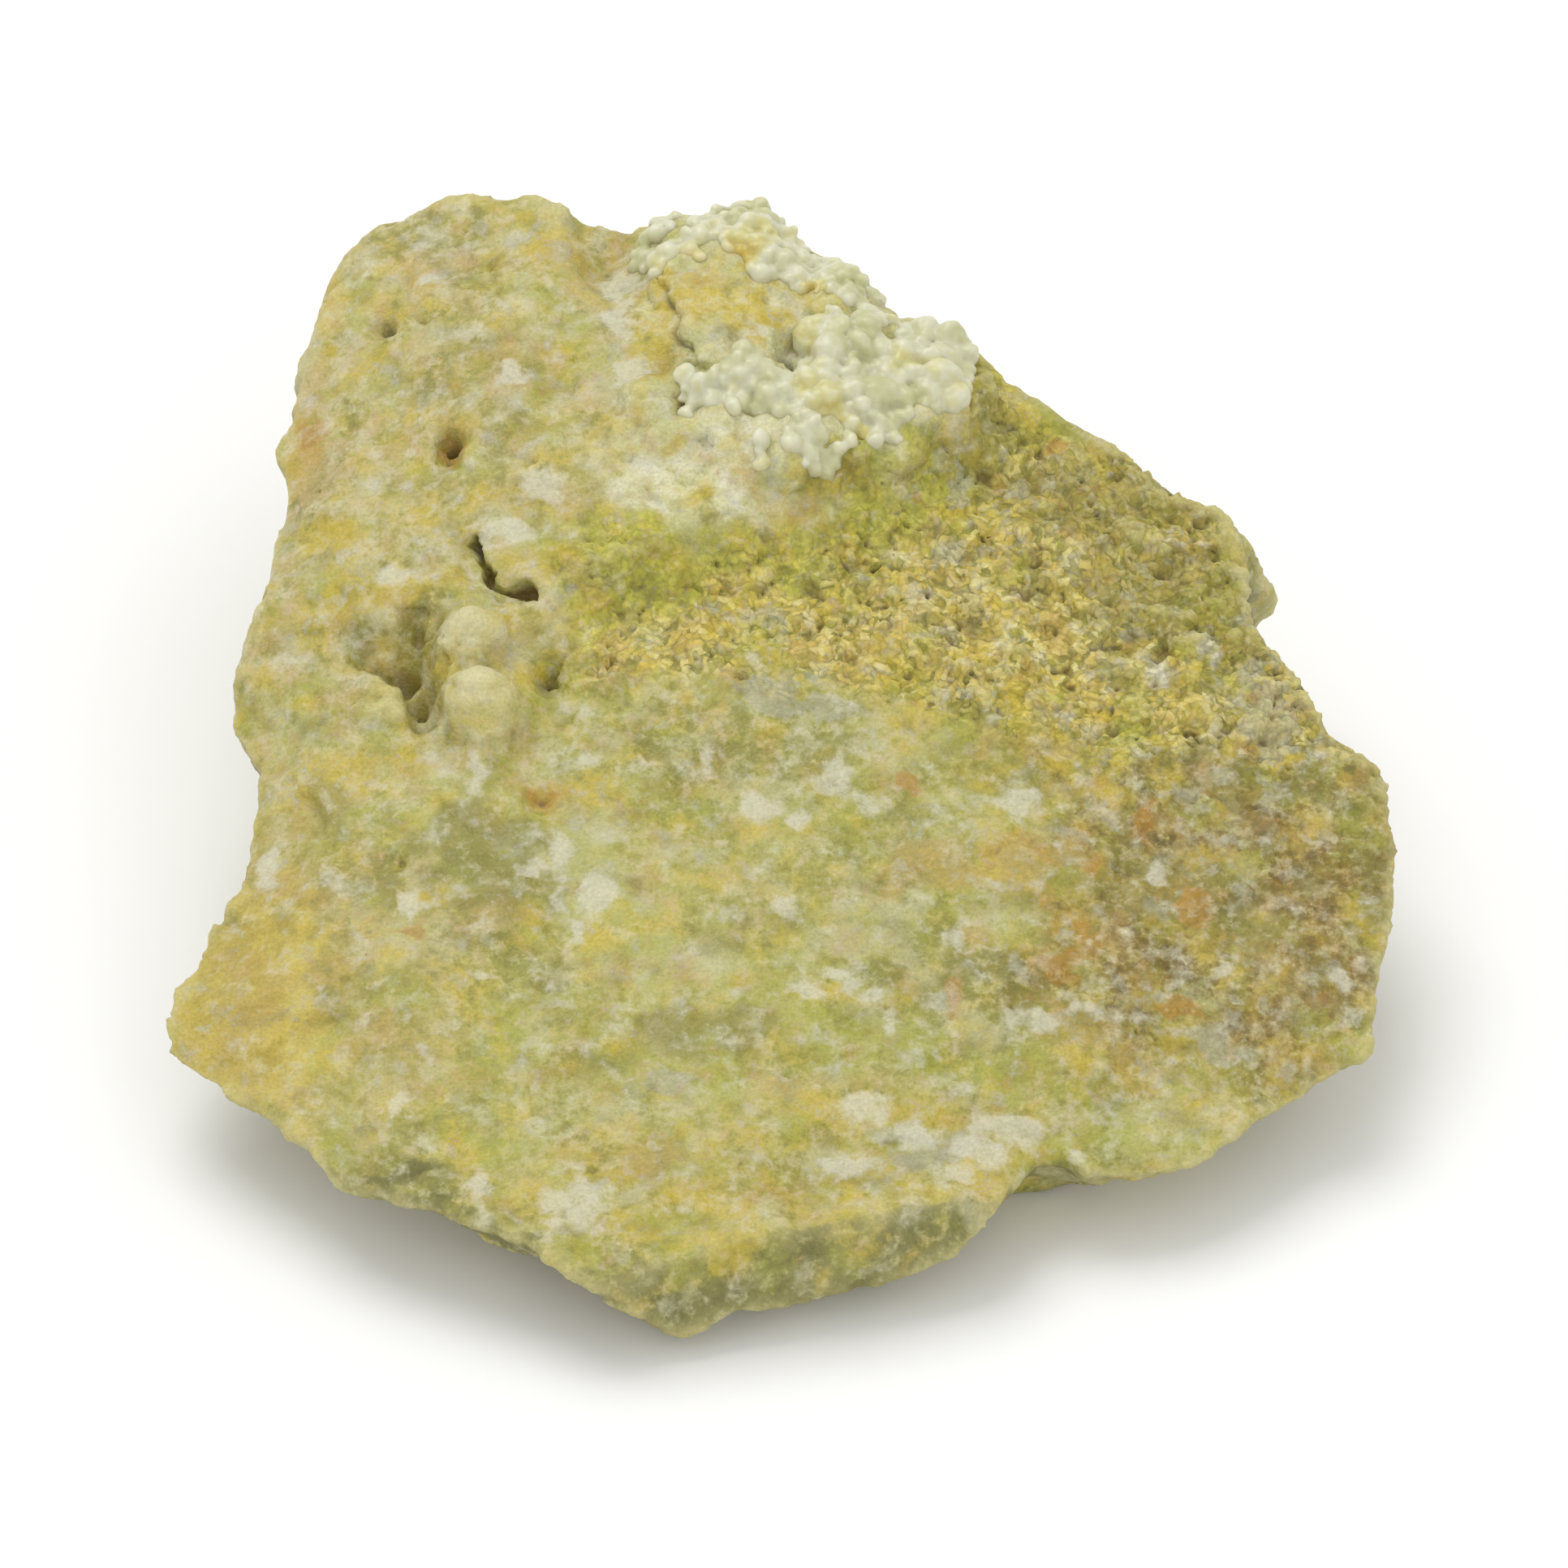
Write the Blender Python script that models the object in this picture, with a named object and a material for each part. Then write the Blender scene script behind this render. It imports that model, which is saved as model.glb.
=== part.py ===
"""Rough green opal: one broken, wedge-shaped lump that rests on a flat fracture face.

The stone is a single solid. Its top slopes down from a high crest at the back to a thin rim in front.
A crust of rounded opal nodules grew near the crest, a step below it drops to a sandy shelf, and the
smooth front apron ends in a small broken facet. Below the rim the stone is undercut down to its base.
Tables are in millimetres, with +X to the right, +Y to the back and +Z up. The model is in metres.
"""

import random

import bmesh
import bpy
import numpy as np
from mathutils import Matrix, Vector, noise
from mathutils.geometry import delaunay_2d_cdt

MM = 0.001

# Driving sizes
STONE_WIDTH = 48.0
VOXEL = 0.32
TRIANGLES = 9600
BASE_SKIN = 0.12

# Rim of the stone, counter-clockwise seen from above: x, y and height of its widest line
FRONT_FACET_FOOT = [(-4, -25.5, 1), (-1.5, -24.5, 1.5), (3, -23, 1.5), (6, -22.5, 2), (7.5, -22, 3)]
FRONT_RIGHT_RIM = [
    (8.5, -21, 4), (10, -19.5, 4), (13.5, -19.5, 3.5), (16, -18.5, 3.5), (18, -17, 4), (20, -15, 4),
]
RIGHT_RIM = [
    (22.5, -13.5, 4.5), (23, -10, 5.5), (24, -4, 7), (23.5, -2, 7.5), (23.5, 0, 8),
    (21.5, 2, 8.5), (20, 4.5, 9), (18.5, 7, 9.5), (18, 9.5, 10),
]
BACK_RIM = [
    (19.5, 12.5, 5.5), (14.5, 16.5, 4), (12, 18.5, 3.5), (9, 21, 3), (3, 24.5, 6.5),
    (0.5, 26.5, 8.5), (-3, 27.5, 9), (-6, 26.5, 8.5), (-9.5, 28, 9.5), (-13, 28.5, 9),
    (-16.5, 27.5, 7.5), (-19, 25, 7), (-19.5, 21.5, 9),
]
LEFT_RIM = [
    (-19, 17.5, 13), (-20, 14, 12), (-19.5, 12.5, 11.5), (-20, 8, 10.5), (-21, 5.5, 9.5),
    (-21.5, 2, 8), (-20.5, 0, 8), (-21, -4, 6.5), (-23, -8, 5.5), (-24, -11, 5), (-24, -13, 4.5),
]
FRONT_LEFT_RIM = [
    (-21.5, -15.5, 4.5), (-18, -19.5, 4), (-15, -21.5, 4), (-9, -25, 4), (-7.5, -26, 3.5), (-5.5, -26, 2),
]
RIM = FRONT_FACET_FOOT + FRONT_RIGHT_RIM + RIGHT_RIM + BACK_RIM + LEFT_RIM + FRONT_LEFT_RIM

# Corners and ridges of the top
CREST = [
    (-18.5, 19, 14), (-17.5, 23, 15), (-16, 24.5, 15.5), (-14, 25, 16), (-9.5, 24.5, 17),
    (-8.5, 23.5, 17), (-6, 23, 16), (-4, 23, 17), (-1, 23, 17), (0.5, 22, 17), (3, 20, 15.5),
    (4, 19, 15), (7, 17.5, 15), (9, 16, 14), (10.5, 15.5, 13.5), (16, 12, 11.5), (17.5, 11.5, 11),
]
PLATEAU = [
    (-15, 19, 15), (-9.5, 18.5, 16.5), (-17, 13.5, 13.5), (-12, 11, 14.5), (-6.5, 13, 15),
    (-18, 7, 11.5), (-14, 6.5, 13), (-9, 7, 13.5), (-17, 2, 10), (-11.5, 1, 11.5),
]
DRUSE_BED = [
    (-4.5, 16.5, 17), (-3, 14.5, 16.5), (1.5, 17.5, 16), (5, 15, 15), (-5, 12.5, 15), (0.5, 12.5, 15),
]
STEP_TOP = [(-9, 5, 13.2), (-3, 7.5, 13.8), (2.5, 10, 14), (7.5, 13.5, 14.5)]
STEP_FOOT = [(-7.5, 4, 11.5), (-1.5, 5.5, 11.5), (4.5, 8.5, 11.5), (10, 12.5, 12)]
SANDY_SHELF = [
    (1.5, 3, 10.7), (8, 6.5, 10.7), (14, 9, 10.7), (16, 5.5, 10), (-8, 1.5, 11), (4, 4.5, 11),
    (-9, 0, 10), (10, 2, 9.5),
]
APRON = [
    (-17.5, -6.5, 8), (-11.5, -4, 9.2), (-6, -6, 8.6), (1.5, -6.5, 8.4), (8.5, -5, 8), (16, -1.5, 8.2),
    (-20, -12, 6.2), (-14.5, -12.5, 7), (-2, -15, 6), (5, -14, 6), (12, -11.5, 6.2), (18, -10.5, 6),
    (-15, -18.5, 5.2), (-2, -21, 4.8), (4, -19.5, 4.8), (16, -15, 4.7),
]
FRONT_FACET_TOP = [(-5, -25, 4), (-2, -24, 4.5), (2.5, -22.8, 4.5), (7, -21.5, 4.5)]

# The flat face that the stone rests on, and the hollows and ledges between it and the rim
BASE = [
    (-4, -21), (1.5, -20.5), (5, -17.5), (11, -15.5), (15, -11), (19, -8.5), (18, -2.5),
    (15.5, 1), (16, 6.5), (12, 12.5), (8.5, 13), (5, 17.5), (-1.5, 19), (-5.5, 17),
    (-10.5, 19), (-14, 14), (-15, 7.5), (-12.5, 1), (-13, -6.5), (-9.5, -13),
]
UNDERSIDE = [
    (-18.5, 14, 6.5), (-18, 8.5, 3), (-19, 2, 4.5), (-17, -3, 2), (-19, -9.5, 3.5), (-13, -19, 2),
    (-17, 21.5, 4.5), (-13, 24, 3.5), (-8.5, 23, 4.5), (-2, 24, 3), (3.5, 21.5, 2.5),
    (10.5, 17.5, 1.5), (21, -11, 3), (21.5, -4.5, 3), (19.5, 0.5, 3.5), (18.5, 6, 4.5),
    (16.5, 10.5, 2.5), (15.5, -15.5, 2),
]

# Druse of rounded opal nodules: its outline seen from above, the nodules and how close they sit
DRUSE_PATCH = [
    (-6.4, 13.4), (-4.4, 11.0), (0.4, 10.0), (4.6, 11.0), (8.0, 14.2), (8.0, 15.8),
    (4.6, 18.2), (2.0, 19.8), (0.8, 18.6), (0.4, 15.4), (-3.4, 14.2),
]
NODULE_TRIES = 900
NODULE_RADIUS = (0.6, 1.25)
NODULE_SPACING = 0.8

# Nodules that stand alone beside the large pit: x, y and radius, and how deep all nodules sit
LONE_NODULES = [(-12.4, 3.2, 1.4), (-11.2, 3.0, 1.2), (-12.2, 0.7, 1.5), (-11.0, 0.0, 1.3)]
LONE_SINK = 0.6
DRUSE_SINK = 0.1

# Sandy crust: its outline seen from above, and the size of its packed grains
SANDY_PATCH = [
    (-8.6, 3.4), (-4.0, 5.6), (3.0, 9.0), (9.0, 14.0), (17.0, 11.0), (20.5, 3.6),
    (23.0, -2.0), (19.0, -1.2), (12.0, 1.4), (4.0, 3.0), (-7.4, 0.6),
]
GRAIN_PITCH = 1.5
GRAIN_HEIGHT = 0.55

# Broken tiles beside the crest: outline seen from above and height over the surface round them
CAPPED_TILE = [
    (-5.8, 22.4), (-5.4, 19.9), (-3.3, 14.5), (-0.8, 14.8), (0.5, 16.2), (0.6, 19.0), (-0.8, 22.6),
]
SUNKEN_TILE = [(-8.7, 23.6), (-7.9, 17.5), (-5.6, 14.2), (-3.5, 14.2), (-5.6, 19.9), (-6.0, 22.6)]
TILES = [(CAPPED_TILE, 0.5), (SUNKEN_TILE, -0.45)]

# Pits on the top: x, y, radius and depth
PITS = [
    (-13.0, 11.9, 0.5, 1.5), (-13.2, 11.1, 0.4, 1.0), (-15.7, 18.6, 0.5, 0.8),
    (-14.2, 18.3, 0.35, 0.4), (-12.2, 7.0, 0.4, 1.6), (-12.1, 6.3, 0.36, 1.6),
    (-11.9, 5.6, 0.4, 1.7), (-11.2, 5.1, 0.42, 1.6), (-10.6, 4.8, 0.45, 1.4),
    (-15.9, 3.4, 0.75, 1.5), (-14.6, 3.0, 0.8, 2.4), (-14.1, 4.4, 0.5, 1.6),
    (-14.2, 1.6, 0.7, 2.4), (-13.9, 0.4, 0.6, 2.0), (-13.1, 2.0, 0.4, 1.2),
    (-9.1, 1.5, 0.55, 1.3), (-9.4, -4.0, 0.5, 0.6), (-14.8, -6.5, 0.5, 0.5),
    (0.4, 15.3, 0.8, 1.5), (4.9, 16.6, 0.45, 0.9), (-4.6, 14.6, 0.45, 0.7),
]

# Width and height of the relief: the flake scars below the rim, and the lumps all over
CHIP_SIZE = 5.2
CHIP_TILT = 1.5
CHIP_STEP = 0.8
CHIP_MARGIN = 1.8
WAVE_SIZE, WAVE_HEIGHT = 8.0, 0.45
LUMP_SIZE, LUMP_HEIGHT = 3.0, 0.38
FINE_SIZE, FINE_HEIGHT = 1.5, 0.16

OPAL_GREEN = (0.43, 0.45, 0.13, 1.0)


def clear_scene():
    for obj in list(bpy.data.objects):
        bpy.data.objects.remove(obj)


def add_side(bm, rim, inner, fold_lines, facing_up):
    """One side of the stone, as flat facets between the rim and the points inside it."""
    points = rim + inner
    flat = [Vector((x, y)) for x, y, _ in points]
    loop = [(i, (i + 1) % len(rim)) for i in range(len(rim))]
    places = {point: index for index, point in enumerate(points)}
    folds = [(places[a], places[b]) for line in fold_lines for a, b in zip(line, line[1:])]
    made, _, faces, *_ = delaunay_2d_cdt(flat, loop + folds, [list(range(len(rim)))], 1, 1e-5)
    if len(made) != len(points):
        raise ValueError("two edges of the stone cross, seen from above")
    heights = {(round(x, 3), round(y, 3)): z for x, y, z in points}
    corners = [bm.verts.new((x, y, heights[(round(x, 3), round(y, 3))])) for x, y in made]
    for face in faces:
        order = face if facing_up else reversed(face)
        bm.faces.new([corners[i] for i in order])


def broken_lump():
    """The stone's main facets: a top and an underside that meet along the rim."""
    top = CREST + PLATEAU + DRUSE_BED + STEP_TOP + STEP_FOOT + SANDY_SHELF + APRON + FRONT_FACET_TOP
    base = [(x, y, 0.0) for x, y in BASE]
    bm = bmesh.new()
    add_side(bm, RIM, top, [CREST, STEP_TOP, STEP_FOOT, FRONT_FACET_TOP], facing_up=True)
    add_side(bm, RIM, base + UNDERSIDE, [base + base[:1]], facing_up=False)
    bmesh.ops.remove_doubles(bm, verts=bm.verts, dist=0.001)
    bmesh.ops.recalc_face_normals(bm, faces=bm.faces)
    mesh = bpy.data.meshes.new("opal")
    bm.to_mesh(mesh)
    bm.free()
    return mesh


def reshape(obj, kind, **settings):
    """Replaces the object's mesh with what one modifier makes of it."""
    modifier = obj.modifiers.new(kind.title(), kind)
    for name, value in settings.items():
        setattr(modifier, name, value)
    graph = bpy.context.evaluated_depsgraph_get()
    shaped = bpy.data.meshes.new_from_object(obj.evaluated_get(graph))
    obj.modifiers.clear()
    obj.data = shaped


def patch_weight(outline, x, y, softness):
    """1 inside a patch, 0 outside, with an edge that fades over this distance inwards."""
    corners = np.array(outline)
    inside = np.zeros(len(x), bool)
    nearest = np.full(len(x), 1e9)
    for (x0, y0), (x1, y1) in zip(corners, np.roll(corners, -1, axis=0)):
        rise = y1 - y0 if y1 != y0 else 1e-9
        inside ^= ((y0 > y) != (y1 > y)) & (x < (x1 - x0) * (y - y0) / rise + x0)
        along = ((x - x0) * (x1 - x0) + (y - y0) * (y1 - y0)) / ((x1 - x0) ** 2 + (y1 - y0) ** 2)
        along = np.clip(along, 0, 1)
        away = np.hypot(x - x0 - along * (x1 - x0), y - y0 - along * (y1 - y0))
        nearest = np.minimum(nearest, away)
    return np.where(inside, np.clip(nearest / softness, 0, 1), 0.0)


def lumps(point):
    """Height of the uneven break: long waves, lumps and a fine roughness."""
    waves = noise.noise(point / WAVE_SIZE) * WAVE_HEIGHT
    knobs = noise.noise(point / LUMP_SIZE + Vector((9, 4, 2))) * LUMP_HEIGHT
    return waves + knobs + noise.noise(point / FINE_SIZE) * FINE_HEIGHT


def flake_scars(point):
    """Height of a chipped wall, where each flake left its own small tilted face."""
    cell = point / CHIP_SIZE
    centre = noise.voronoi(cell)[1][0]
    tilt = noise.cell_vector(centre * 7.0) - Vector((0.5, 0.5, 0.5))
    return (cell - centre).dot(tilt) * CHIP_TILT + tilt.x * CHIP_STEP


def grains(point):
    """Height of the sandy crust: rounded grains, packed side by side."""
    gap = noise.voronoi(point / GRAIN_PITCH)[0][0]
    return GRAIN_HEIGHT * (0.6 - min(1.0, gap) ** 2)


def nodules(surface):
    """Centres and radii of all nodules: the druse, filled without a pattern, and the lone ones."""
    chance = random.Random(11)
    low = np.min(DRUSE_PATCH, axis=0)
    high = np.max(DRUSE_PATCH, axis=0)
    spots = [(x, y, radius, LONE_SINK) for x, y, radius in LONE_NODULES]
    for _ in range(NODULE_TRIES):
        x = chance.uniform(low[0], high[0])
        y = chance.uniform(low[1], high[1])
        radius = chance.uniform(*NODULE_RADIUS)
        inside = patch_weight(DRUSE_PATCH, np.array([x]), np.array([y]), 0.3)[0] > 0.5
        gap = NODULE_SPACING / 2
        apart = all(np.hypot(x - a, y - b) > gap * (radius + r) for a, b, r, _ in spots)
        if inside and apart:
            spots.append((x, y, radius, DRUSE_SINK))
    found = []
    for x, y, radius, sink in spots:
        near = np.hypot(surface[:, 0] - x, surface[:, 1] - y) - surface[:, 2] * 0.2
        found.append((surface[np.argmin(near)] - (0, 0, sink * radius), radius))
    return found


def roughen(mesh):
    """Moves each point of the fine mesh, by all the relief that the stone has at that place."""
    count = len(mesh.vertices)
    place = np.empty(count * 3, np.float32)
    normal = np.empty(count * 3, np.float32)
    mesh.vertices.foreach_get("co", place)
    mesh.vertices.foreach_get("normal", normal)
    place = place.reshape(-1, 3).astype(float)
    normal = normal.reshape(-1, 3).astype(float)
    x, y, z = place.T
    on_top = np.clip((normal[:, 2] - 0.1) / 0.3, 0, 1)
    on_base = (z < BASE_SKIN) & (normal[:, 2] < -0.9)
    calm = 1.0 - 0.7 * np.clip((1.0 - y) / 6.0, 0, 1) * on_top
    from_rim = patch_weight([(a, b) for a, b, _ in RIM], x, y, CHIP_MARGIN)
    points = [Vector(p) for p in place]
    lift = np.array([lumps(p) for p in points]) * calm
    lift += np.array([flake_scars(p) for p in points]) * (1.0 - on_top) * from_rim
    sandy = patch_weight(SANDY_PATCH, x, y, 1.5) * on_top
    lift += np.array([grains(p) for p in points]) * sandy
    for outline, height in TILES:
        lift += patch_weight(outline, x, y, 0.35) * on_top * height
    bulge = np.zeros(count)
    for centre, radius in nodules(place):
        offset = place - centre
        along = (offset * normal).sum(axis=1)
        depth = radius**2 - (offset**2).sum(axis=1)
        cap = np.sqrt(along**2 + np.clip(depth, 0, None)) - along
        bulge = np.maximum(bulge, np.where(depth > 0, cap, 0))
    lift += bulge * on_top
    drop = np.zeros(count)
    for pit_x, pit_y, radius, depth in PITS:
        away = np.hypot(x - pit_x, y - pit_y) / radius
        drop = np.maximum(drop, depth * np.clip(1.4 - away, 0, 1) * (on_top > 0.3))
    near_floor = np.clip(z / 1.5, 0, 1)
    place += normal * (lift * near_floor)[:, None]
    place[:, 2] -= drop
    place[on_base, 2] = 0.0
    place[:, 2] = np.maximum(place[:, 2], 0.0)
    mesh.vertices.foreach_set("co", place.astype(np.float32).ravel())
    mesh.update()


def seat(mesh):
    """Flattens the base, and brings the stone to its width with the origin under its middle."""
    place = np.array([v.co for v in mesh.vertices])
    low = place.min(axis=0)
    place[place[:, 2] < low[2] + BASE_SKIN, 2] = low[2]
    mesh.vertices.foreach_set("co", place.astype(np.float32).ravel())
    high = place.max(axis=0)
    middle = (low + high) / 2
    scale = STONE_WIDTH * MM / (high[0] - low[0])
    move = Matrix.Translation((-middle[0], -middle[1], -low[2]))
    mesh.transform(Matrix.Scale(scale, 4) @ move)
    mesh.update()


def opal_finish():
    material = bpy.data.materials.new("green_opal")
    material.use_nodes = True
    shader = material.node_tree.nodes["Principled BSDF"]
    shader.inputs["Base Color"].default_value = OPAL_GREEN
    shader.inputs["Roughness"].default_value = 0.6
    shader.inputs["Metallic"].default_value = 0.0
    return material


def build_stone():
    stone = bpy.data.objects.new("opal", broken_lump())
    bpy.context.scene.collection.objects.link(stone)
    reshape(stone, "REMESH", mode="VOXEL", voxel_size=VOXEL)
    roughen(stone.data)
    reshape(stone, "REMESH", mode="VOXEL", voxel_size=VOXEL)
    reshape(stone, "TRIANGULATE")
    reshape(stone, "DECIMATE", ratio=TRIANGLES / len(stone.data.polygons))
    seat(stone.data)
    stone.data.materials.clear()
    stone.data.materials.append(opal_finish())
    return stone


clear_scene()
build_stone()
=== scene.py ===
import math

import bpy
import numpy as np
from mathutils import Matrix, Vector, noise


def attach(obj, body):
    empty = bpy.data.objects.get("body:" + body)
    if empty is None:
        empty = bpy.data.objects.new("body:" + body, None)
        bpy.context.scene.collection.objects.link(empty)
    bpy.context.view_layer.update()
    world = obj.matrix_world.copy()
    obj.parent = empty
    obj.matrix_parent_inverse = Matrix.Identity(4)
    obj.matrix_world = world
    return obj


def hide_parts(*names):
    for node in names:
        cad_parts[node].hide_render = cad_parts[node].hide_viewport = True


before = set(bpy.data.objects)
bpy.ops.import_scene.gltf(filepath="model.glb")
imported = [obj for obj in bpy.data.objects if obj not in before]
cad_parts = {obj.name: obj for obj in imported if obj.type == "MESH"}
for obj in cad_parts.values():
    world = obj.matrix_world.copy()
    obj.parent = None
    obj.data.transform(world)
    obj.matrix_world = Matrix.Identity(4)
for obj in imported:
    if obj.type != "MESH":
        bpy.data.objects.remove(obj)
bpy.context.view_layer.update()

# The stone's body is one broken lump of common opal, which fine clay and iron minerals tint green.
# Nothing on it is cut or polished: it parted along waxy fractures, and an old weathered crust covers
# its top. The body is remade here with small even faces, so that the relief can be real shape.
MM = 0.001
FACE_SIZE = 0.18 * MM
MERGE_DISTANCE = 0.001 * MM
SMOOTH_SHARE = 0.5
SMOOTH_ROUNDS = 3
BODY_TRIANGLES = 190000


def add_object(name, data):
    """Adds an object to the scene."""
    made = bpy.data.objects.new(name, data)
    bpy.context.scene.collection.objects.link(made)
    return made


def plain_mesh(obj):
    """Replaces an object's mesh and modifiers by the plain mesh that they give."""
    graph = bpy.context.evaluated_depsgraph_get()
    made = bpy.data.meshes.new_from_object(obj.evaluated_get(graph))
    obj.modifiers.clear()
    obj.data = made


def read_points(owner, field):
    """The positions or normals of a mesh's vertices as one array."""
    values = np.zeros(len(owner) * 3, np.float32)
    owner.foreach_get(field, values)
    return values.reshape(-1, 3).astype(float)


def write_points(mesh, points):
    """Moves a mesh's vertices to new positions."""
    mesh.vertices.foreach_set("co", points.astype(np.float32).ravel())
    mesh.update()


def keep_values(mesh, name, values):
    """Keeps one value for each vertex of a mesh, for its material to read."""
    layer = mesh.attributes.new(name, "FLOAT", "POINT")
    layer.data.foreach_set("value", values.astype(np.float32))


def read_edges(mesh):
    """The two vertices of each edge of a mesh."""
    ends = np.zeros(len(mesh.edges) * 2, np.int32)
    mesh.edges.foreach_get("vertices", ends)
    return ends.reshape(-1, 2)


# Each octave of a noise is twice as fine as the one before it and half as strong
OCTAVE_FALL, OCTAVE_STEP = 1.0, 2.0


def smooth_noise(points, size_mm, seed, octaves=2):
    """Noise of about -1 to 1 at each point, with features of about that size."""
    shift = Vector((17.3, 5.1, 9.7)) * seed
    step = 1 / (size_mm * MM)
    return np.array([noise.fractal(Vector(p) * step + shift, OCTAVE_FALL, OCTAVE_STEP, octaves)
                     for p in points])


# A cell's centre times these gives the cell its slope and its level, unlike those of its neighbours
SLOPE_HASH, LEVEL_HASH = 7.3, 11.9


def flakes(points, size_mm, tilt, seed):
    """The height of broken flakes: each cell has its own level and its own slope, from about -1 to 1."""
    shift = Vector((3.1, 13.7, 7.9)) * seed
    step = 1 / (size_mm * MM)
    middle = Vector((0.5, 0.5, 0.5))
    heights = np.zeros(len(points))
    for number, point in enumerate(points):
        here = Vector(point) * step + shift
        centre = noise.voronoi(here)[1][0]
        lean = noise.cell_vector(centre * SLOPE_HASH) - middle
        level = noise.cell_vector(centre * LEVEL_HASH).x - 0.5
        heights[number] = level + tilt * (here - centre).dot(lean)
    return heights


def averaged(values, edges, rounds):
    """Values at the vertices after each has been averaged with its neighbours a number of times."""
    count = np.bincount(edges.ravel(), minlength=len(values))[:, None]
    for _ in range(rounds):
        total = np.zeros_like(values)
        for axis in range(values.shape[1]):
            total[:, axis] = np.bincount(edges[:, 0], values[edges[:, 1], axis], len(values))
            total[:, axis] += np.bincount(edges[:, 1], values[edges[:, 0], axis], len(values))
        values = total / count
    return values


def sunken_by(points, normals, edges, rounds, full_mm):
    """How far each point lies below the surface round it, as a share of a full depth."""
    level = averaged(points, edges, rounds)
    return ((level - points) * normals).sum(1) / (full_mm * MM)


def knobs(points, size_mm, seed, spread=0.7):
    """The height of round knobs that stand side by side, from 0 between them to 1 on top."""
    shift = Vector((5.9, 2.3, 11.1)) * seed
    step = 1 / (size_mm * MM)
    reach = np.array([noise.voronoi(Vector(p) * step + shift)[0][0] for p in points])
    return np.sqrt(np.clip(1 - (reach / spread) ** 2, 0, 1))


def segment_distance(x, y, start, end):
    """The distance of each point, seen from above, to a straight line between two points."""
    run = (end[0] - start[0], end[1] - start[1])
    share = ((x - start[0]) * run[0] + (y - start[1]) * run[1]) / (run[0] ** 2 + run[1] ** 2)
    share = np.clip(share, 0, 1)
    return np.hypot(x - start[0] - share * run[0], y - start[1] - share * run[1])


def zone_weight(outline, x, y, edge):
    """1 well inside an outline seen from above, 0 well outside it, and a slope one edge wide between."""
    nearest = np.full(len(x), 1e9)
    inside = np.zeros(len(x), bool)
    for start, end in zip(outline, outline[1:] + outline[:1]):
        nearest = np.minimum(nearest, segment_distance(x, y, start, end))
        if start[1] != end[1]:
            crosses = (start[1] > y) != (end[1] > y)
            slant = (end[0] - start[0]) / (end[1] - start[1])
            inside ^= crosses & (x < start[0] + (y - start[1]) * slant)
    return np.clip(0.5 + np.where(inside, nearest, -nearest) / edge, 0, 1)


def crack_depth(cracks, x, y):
    """How deep the cracks are at each point. Each is a width, a depth, below 0 for a ridge, and corners."""
    found = np.zeros(len(x))
    for width, depth, corners in cracks:
        for start, end in zip(corners, corners[1:]):
            here = np.sqrt(np.clip(1 - segment_distance(x, y, start, end) / (width / 2), 0, 1)) * depth
            found = np.where(np.abs(here) > np.abs(found), here, found)
    return found


def mark_weight(spots, x, y):
    """1 deep inside the nearest spot, a half at its edge and 0 outside. A spot is x, y and half sizes."""
    best = np.zeros(len(x))
    for spot_x, spot_y, half_width, half_depth in spots:
        reach = np.hypot((x - spot_x) / half_width, (y - spot_y) / half_depth)
        best = np.maximum(best, np.clip(1.5 - reach, 0, 1))
    return best


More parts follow.
